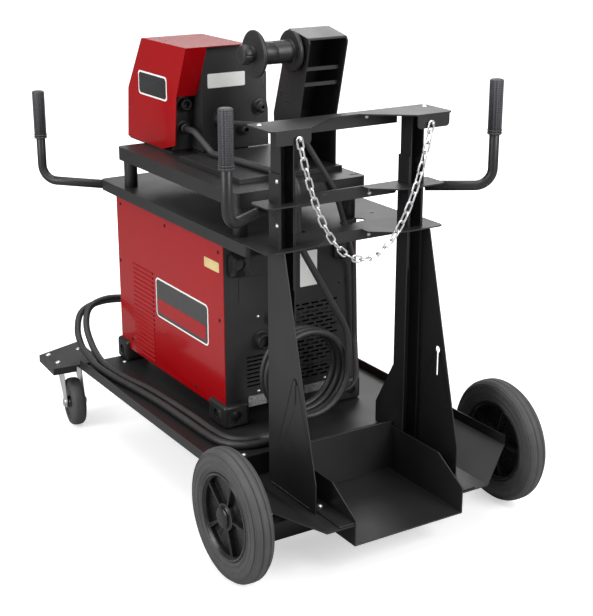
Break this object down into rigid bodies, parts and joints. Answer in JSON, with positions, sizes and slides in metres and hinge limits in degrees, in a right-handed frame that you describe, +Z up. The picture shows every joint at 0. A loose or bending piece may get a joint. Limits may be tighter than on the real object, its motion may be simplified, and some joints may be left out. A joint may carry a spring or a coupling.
{
  "type": "wire feed welding power source on a cylinder cart",
  "caption": "Welding power source on a wheeled cart, with wire feeder, spool mast, cable hangers and a low gas cylinder platform with V brackets and a chain.",
  "frame": {"origin": "centre of the footprint of the whole cart, on the ground", "axes": "+Z up; +Y towards the rear, where the large wheels and the cylinder platform are; +X towards the left hand side of the cart for someone facing its front panel"},
  "size_m": [0.7588, 1.187, 1.066],
  "materials": {
    "black_steel": "semi-gloss black powder coat",
    "red_cover": "gloss red paint",
    "tyre": "grey black rubber",
    "rim": "moulded black nylon",
    "caster_tyre": "dark rubber",
    "zinc": "bright zinc plate",
    "black_plastic": "moulded plastic with fine texture",
    "panel": "black textured paint",
    "grip": "knurled rubber",
    "steel": "machined steel",
    "cable": "cable jacket, semi-matte",
    "copper": "laminated core, varnished copper and fins",
    "board": "glass fibre board"
  },
  "bodies": {
    "cart": {"base_pan": "black_steel", "deck_plate": "black_steel", "caster_wings": "black_steel", "caster_plates": "zinc", "rear_axle": "black_steel", "cylinder_tray": "black_steel", "uprights": "black_steel", "upright_extensions": "black_steel", "side_gussets": "black_steel", "bracket_top": "black_steel", "bracket_middle": "black_steel", "bracket_lower": "black_steel", "lower_shelf": "black_steel", "shelf_posts": "black_steel", "feeder_shelf": "black_steel", "mast_base": "black_steel", "spool_mast": "black_steel", "spindle_shaft": "black_plastic", "handle_tubes": "black_steel", "handle_grips": "grip", "case_cover": "red_cover", "case_base": "panel", "case_rear_panel": "panel", "case_front_panel": "panel", "case_bumpers": "black_plastic", "power_stack": "copper", "inverter_board": "board", "fan_motor": "black_plastic", "panel_connectors": "black_plastic", "feeder_cover": "red_cover", "feeder_rear_panel": "panel", "feeder_chassis": "panel", "wire_drive_unit": "steel", "gun_adaptor": "black_plastic", "weld_cables": "cable", "control_cable": "cable", "cart_screws": "zinc"},
    "wheel_left": {"tyre_left": "tyre", "wheel_rim_left": "rim"},
    "wheel_right": {"tyre_right": "tyre", "wheel_rim_right": "rim"},
    "caster_swivel_left": {"caster_fork_left": "zinc"},
    "caster_swivel_right": {"caster_fork_right": "zinc"},
    "caster_wheel_left": {"caster_hub_left": "rim", "caster_tyre_left": "caster_tyre"},
    "caster_wheel_right": {"caster_hub_right": "rim", "caster_tyre_right": "caster_tyre"},
    "spool_carrier": {"spool_hub": "black_plastic", "spool_retainer": "black_plastic"},
    "spindle_nut": {"spindle_knob": "black_plastic"},
    "fan": {"fan_rotor": "black_plastic"},
    "drive_roller": {"drive_roll": "steel"},
    "idler_roller": {"idler_roll": "steel"},
    "pressure_lever": {"pressure_arm": "steel"},
    "output_control": {"output_knob": "black_plastic"},
    "power_rocker": {"mains_switch": "black_plastic"},
    "speed_control": {"speed_knob": "black_plastic"},
    "voltage_control": {"voltage_knob": "black_plastic"},
    "jog_control": {"jog_button": "black_plastic"},
    "chain": {"retaining_chain": "zinc"}
  },
  "joints": [
    {"name": "wheel_left_spin", "type": "hinge", "parent": "cart", "child": "wheel_left", "pos_m": [0.351, 0.4515, 0.142], "axis": [1, 0, 0], "continuous": true},
    {"name": "wheel_right_spin", "type": "hinge", "parent": "cart", "child": "wheel_right", "pos_m": [-0.351, 0.4515, 0.142], "axis": [1, 0, 0], "continuous": true},
    {"name": "caster_left_swivel", "type": "hinge", "parent": "cart", "child": "caster_swivel_left", "pos_m": [0.303, -0.5035, 0.15], "axis": [0, 0, 1], "continuous": true},
    {"name": "caster_left_roll", "type": "hinge", "parent": "caster_swivel_left", "child": "caster_wheel_left", "pos_m": [0.30884, -0.46191, 0.0625], "axis": [0.9903, -0.1392, 0], "continuous": true},
    {"name": "caster_right_swivel", "type": "hinge", "parent": "cart", "child": "caster_swivel_right", "pos_m": [-0.303, -0.5035, 0.15], "axis": [0, 0, 1], "continuous": true},
    {"name": "caster_right_roll", "type": "hinge", "parent": "caster_swivel_right", "child": "caster_wheel_right", "pos_m": [-0.29716, -0.46191, 0.0625], "axis": [0.9903, -0.1392, 0], "continuous": true},
    {"name": "spool_spin", "type": "hinge", "parent": "cart", "child": "spool_carrier", "pos_m": [0.05, 0.1395, 1.016], "axis": [1, 0, 0], "continuous": true},
    {"name": "spindle_nut_turn", "type": "hinge", "parent": "cart", "child": "spindle_nut", "pos_m": [0.13, 0.1395, 1.016], "axis": [1, 0, 0], "continuous": true},
    {"name": "fan_spin", "type": "hinge", "parent": "cart", "child": "fan", "pos_m": [-0.064, 0.0951, 0.344], "axis": [0, 1, 0], "continuous": true},
    {"name": "drive_roll_spin", "type": "hinge", "parent": "cart", "child": "drive_roller", "pos_m": [-0.065, -0.2785, 0.834], "axis": [1, 0, 0], "continuous": true},
    {"name": "pressure_arm_lift", "type": "hinge", "parent": "cart", "child": "pressure_lever", "pos_m": [-0.058, -0.2285, 0.893], "axis": [1, 0, 0], "range_deg": [-30, 0]},
    {"name": "idler_roll_spin", "type": "hinge", "parent": "pressure_lever", "child": "idler_roller", "pos_m": [-0.065, -0.2785, 0.86585], "axis": [1, 0, 0], "continuous": true},
    {"name": "output_knob_turn", "type": "hinge", "parent": "cart", "child": "output_control", "pos_m": [0.06, -0.4441, 0.56], "axis": [0, -1, 0], "range_deg": [0, 300]},
    {"name": "mains_switch_rock", "type": "hinge", "parent": "cart", "child": "power_rocker", "pos_m": [-0.08, -0.4331, 0.56], "axis": [1, 0, 0], "range_deg": [-8, 8]},
    {"name": "speed_knob_turn", "type": "hinge", "parent": "cart", "child": "speed_control", "pos_m": [0.1, -0.4335, 0.83], "axis": [0, -1, 0], "range_deg": [0, 270]},
    {"name": "voltage_knob_turn", "type": "hinge", "parent": "cart", "child": "voltage_control", "pos_m": [0.05, -0.4335, 0.83], "axis": [0, -1, 0], "range_deg": [0, 270]},
    {"name": "jog_button_press", "type": "slide", "parent": "cart", "child": "jog_control", "axis": [0, 1, 0], "range_m": [0, 0.003]},
    {"name": "chain_swing", "type": "hinge", "parent": "cart", "child": "chain", "pos_m": [0, 0.407, 0.89], "axis": [1, 0, 0], "range_deg": [0, 35]}
  ],
  "couplings": [
    {"joint": "idler_roll_spin", "follows": "drive_roll_spin", "ratio": -1}
  ]
}
